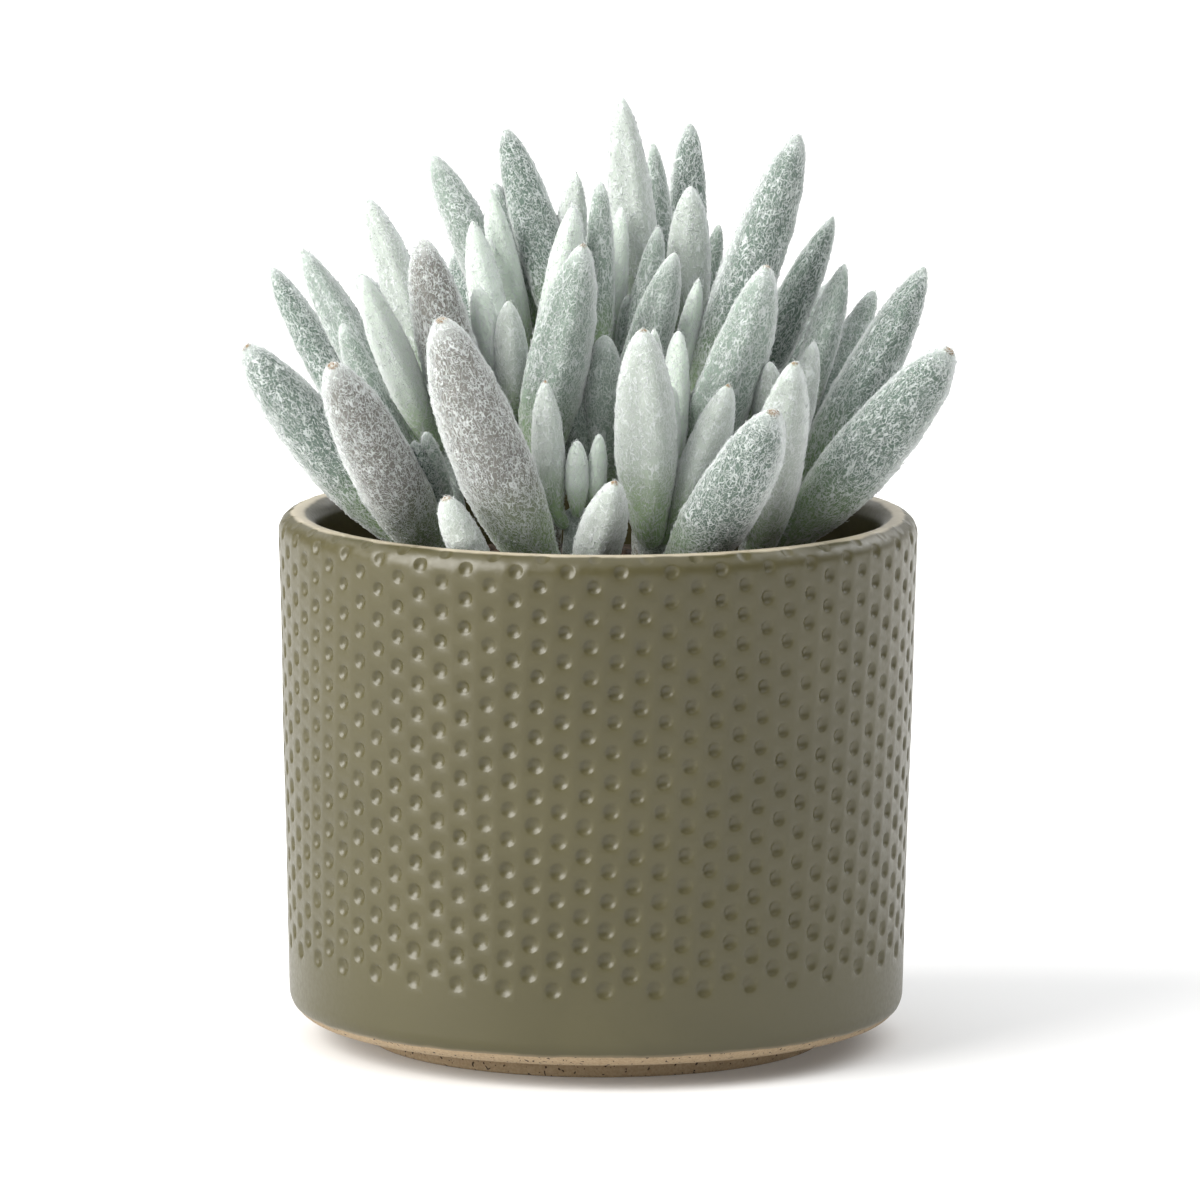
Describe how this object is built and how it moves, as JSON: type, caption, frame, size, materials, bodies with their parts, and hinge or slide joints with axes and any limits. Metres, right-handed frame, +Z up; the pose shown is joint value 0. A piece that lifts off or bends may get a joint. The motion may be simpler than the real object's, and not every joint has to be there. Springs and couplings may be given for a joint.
{
  "type": "potted succulent plant",
  "caption": "Woolly-leaved succulent with upright spindle-shaped leaves in a straight-sided dimpled stoneware pot.",
  "frame": {"origin": "centre of the flat underside of the pot's foot", "axes": "+Z up along the pot's axis, -Y towards the viewer, +X to the viewer's right"},
  "size_m": [0.1317, 0.122, 0.176],
  "materials": {
    "pot": "satin olive glaze, bare clay foot",
    "soil": "loose potting soil",
    "stem": "matt green bark",
    "leaf": "white felt over blue-green flesh"
  },
  "bodies": {
    "root": {"leaf_back_left_1": "leaf", "leaf_back_left_2": "leaf", "leaf_back_left_3": "leaf", "leaf_back_left_4": "leaf", "leaf_back_left_5": "leaf", "leaf_back_right_1": "leaf", "leaf_back_right_2": "leaf", "leaf_back_right_3": "leaf", "leaf_back_right_4": "leaf", "leaf_back_right_5": "leaf", "leaf_back_right_6": "leaf", "leaf_back_right_7": "leaf", "leaf_back_right_8": "leaf", "leaf_front_1": "leaf", "leaf_front_2": "leaf", "leaf_front_3": "leaf", "leaf_front_4": "leaf", "leaf_front_5": "leaf", "leaf_front_offshoot_1": "leaf", "leaf_front_right_1": "leaf", "leaf_front_right_2": "leaf", "leaf_front_right_3": "leaf", "leaf_left_1": "leaf", "leaf_left_2": "leaf", "leaf_left_3": "leaf", "leaf_left_4": "leaf", "leaf_left_5": "leaf", "leaf_left_6": "leaf", "leaf_left_7": "leaf", "leaf_middle_1": "leaf", "leaf_middle_2": "leaf", "leaf_middle_3": "leaf", "leaf_middle_4": "leaf", "leaf_middle_5": "leaf", "leaf_middle_6": "leaf", "leaf_middle_left_1": "leaf", "leaf_middle_left_2": "leaf", "leaf_middle_left_3": "leaf", "leaf_middle_left_4": "leaf", "leaf_middle_left_5": "leaf", "leaf_middle_right_1": "leaf", "leaf_middle_right_2": "leaf", "leaf_right_1": "leaf", "leaf_right_2": "leaf", "leaf_right_3": "leaf", "leaf_right_4": "leaf", "leaf_right_5": "leaf", "leaf_right_6": "leaf", "pot": "pot", "soil": "soil", "stem_back_left": "stem", "stem_back_right": "stem", "stem_front": "stem", "stem_front_offshoot": "stem", "stem_front_right": "stem", "stem_left": "stem", "stem_middle": "stem", "stem_middle_left": "stem", "stem_middle_right": "stem", "stem_right": "stem"}
  },
  "joints": []
}
